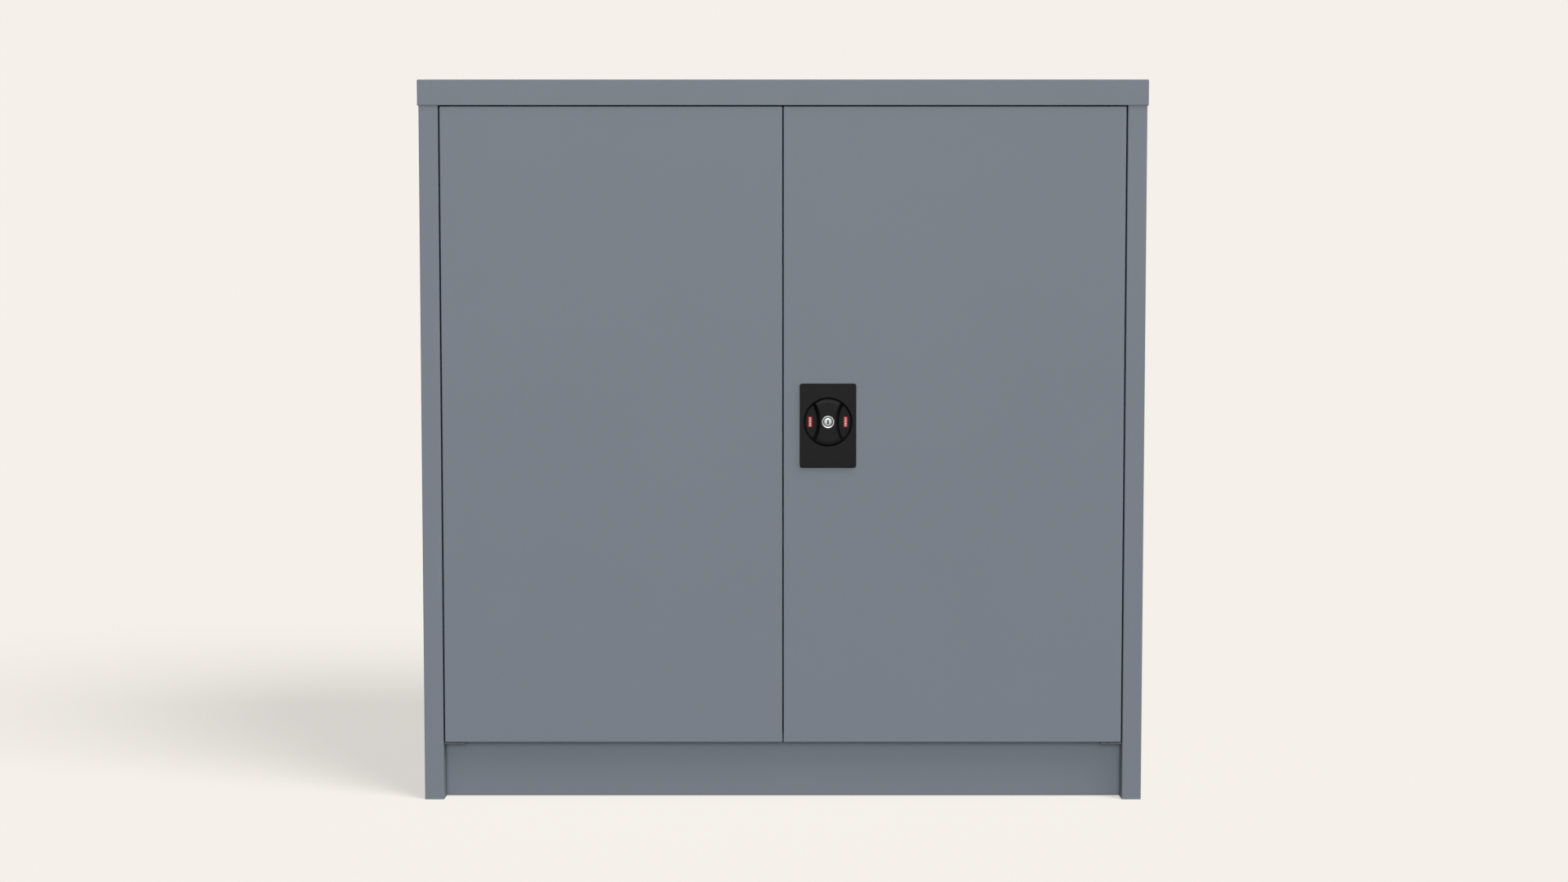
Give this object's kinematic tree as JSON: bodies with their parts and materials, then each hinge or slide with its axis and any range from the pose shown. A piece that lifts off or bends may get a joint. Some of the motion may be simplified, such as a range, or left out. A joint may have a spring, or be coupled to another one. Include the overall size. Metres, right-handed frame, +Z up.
{
  "type": "metal storage cabinet",
  "caption": "Low steel cupboard with hinged doors, a turn-dial lock driving top and bottom rods, adjustable shelves and levelling feet.",
  "frame": {"origin": "on the floor, at the middle of the outline's width and depth", "axes": "+X to the right seen from the front, +Y towards the back, +Z up; the doors face -Y"},
  "size_m": [0.9, 0.4528, 0.895],
  "materials": {
    "steel": "blue-grey powder coat, fine texture, low sheen",
    "zinc": "bright zinc plating",
    "nylon": "white moulded nylon",
    "rubber": "matte black rubber",
    "black_plastic": "satin black moulding",
    "red_label": "red printed insert",
    "chrome": "polished chrome"
  },
  "bodies": {
    "cabinet": {"left_side_panel": "steel", "right_side_panel": "steel", "back_panel": "steel", "top_cap": "steel", "header_rail": "steel", "floor_panel": "steel", "plinth": "steel", "lower_stop_rail": "steel", "upright_front_left": "steel", "upright_front_right": "steel", "upright_rear_left": "steel", "upright_rear_right": "steel", "shelf_lower": "steel", "shelf_upper": "steel", "hinge_pin_top_left": "steel", "hinge_pin_top_right": "steel", "hinge_bracket_left": "steel", "hinge_bracket_right": "steel", "shelf_clip_lower_front_left": "zinc", "shelf_clip_lower_front_right": "zinc", "shelf_clip_lower_rear_left": "zinc", "shelf_clip_lower_rear_right": "zinc", "shelf_clip_upper_front_left": "zinc", "shelf_clip_upper_front_right": "zinc", "shelf_clip_upper_rear_left": "zinc", "shelf_clip_upper_rear_right": "zinc", "foot_bracket_front_left": "zinc", "foot_bracket_front_right": "zinc", "foot_bracket_rear_left": "zinc", "foot_bracket_rear_right": "zinc", "hinge_washer_left": "black_plastic", "hinge_washer_right": "black_plastic", "door_buffer_top_left": "rubber", "door_buffer_top_right": "rubber", "door_buffer_bottom_left": "rubber", "door_buffer_bottom_right": "rubber"},
    "left_door_leaf": {"left_door": "steel", "left_door_stiffener": "steel"},
    "right_door_leaf": {"right_door": "steel", "right_door_stiffener": "steel", "lock_plate": "black_plastic", "lock_case": "zinc", "upper_rod_guide": "nylon", "lower_rod_guide": "nylon"},
    "dial_assembly": {"dial": "black_plastic", "dial_label_left": "red_label", "dial_label_right": "red_label", "key_sleeve": "chrome", "lock_cam": "zinc", "cam_screw": "zinc"},
    "key_cylinder": {"key_plug": "chrome", "key_pawl": "zinc"},
    "top_locking_rod": {"upper_rod": "zinc"},
    "bottom_locking_rod": {"lower_rod": "zinc"},
    "foot_front_left": {"levelling_foot_front_left": "zinc"},
    "foot_front_right": {"levelling_foot_front_right": "zinc"},
    "foot_rear_left": {"levelling_foot_rear_left": "zinc"},
    "foot_rear_right": {"levelling_foot_rear_right": "zinc"}
  },
  "joints": [
    {"name": "left_door_hinge", "type": "hinge", "parent": "cabinet", "child": "left_door_leaf", "pos_m": [-0.4068, -0.21405, 0.0722], "axis": [0, 0, -1], "range_deg": [0, 110]},
    {"name": "right_door_hinge", "type": "hinge", "parent": "cabinet", "child": "right_door_leaf", "pos_m": [0.4068, -0.21405, 0.0722], "axis": [0, 0, 1], "range_deg": [0, 110]},
    {"name": "dial_turn", "type": "hinge", "parent": "right_door_leaf", "child": "dial_assembly", "pos_m": [0.0558, -0.22205, 0.4735], "axis": [0, -1, 0], "range_deg": [0, 90]},
    {"name": "key_turn", "type": "hinge", "parent": "dial_assembly", "child": "key_cylinder", "pos_m": [0.0558, -0.22205, 0.4735], "axis": [0, -1, 0], "range_deg": [0, 90]},
    {"name": "upper_rod_slide", "type": "slide", "parent": "right_door_leaf", "child": "top_locking_rod", "axis": [0, 0, 1], "range_m": [0, 0.022]},
    {"name": "lower_rod_slide", "type": "slide", "parent": "right_door_leaf", "child": "bottom_locking_rod", "axis": [0, 0, -1], "range_m": [0, 0.022]},
    {"name": "foot_front_left_screw", "type": "slide", "parent": "cabinet", "child": "foot_front_left", "axis": [0, 0, -1], "range_m": [0, 0.012]},
    {"name": "foot_front_right_screw", "type": "slide", "parent": "cabinet", "child": "foot_front_right", "axis": [0, 0, -1], "range_m": [0, 0.012]},
    {"name": "foot_rear_left_screw", "type": "slide", "parent": "cabinet", "child": "foot_rear_left", "axis": [0, 0, -1], "range_m": [0, 0.012]},
    {"name": "foot_rear_right_screw", "type": "slide", "parent": "cabinet", "child": "foot_rear_right", "axis": [0, 0, -1], "range_m": [0, 0.012]}
  ],
  "couplings": [
    {"joint": "upper_rod_slide", "follows": "dial_turn", "m_per_rad": 0.013955},
    {"joint": "lower_rod_slide", "follows": "dial_turn", "m_per_rad": 0.013955}
  ]
}
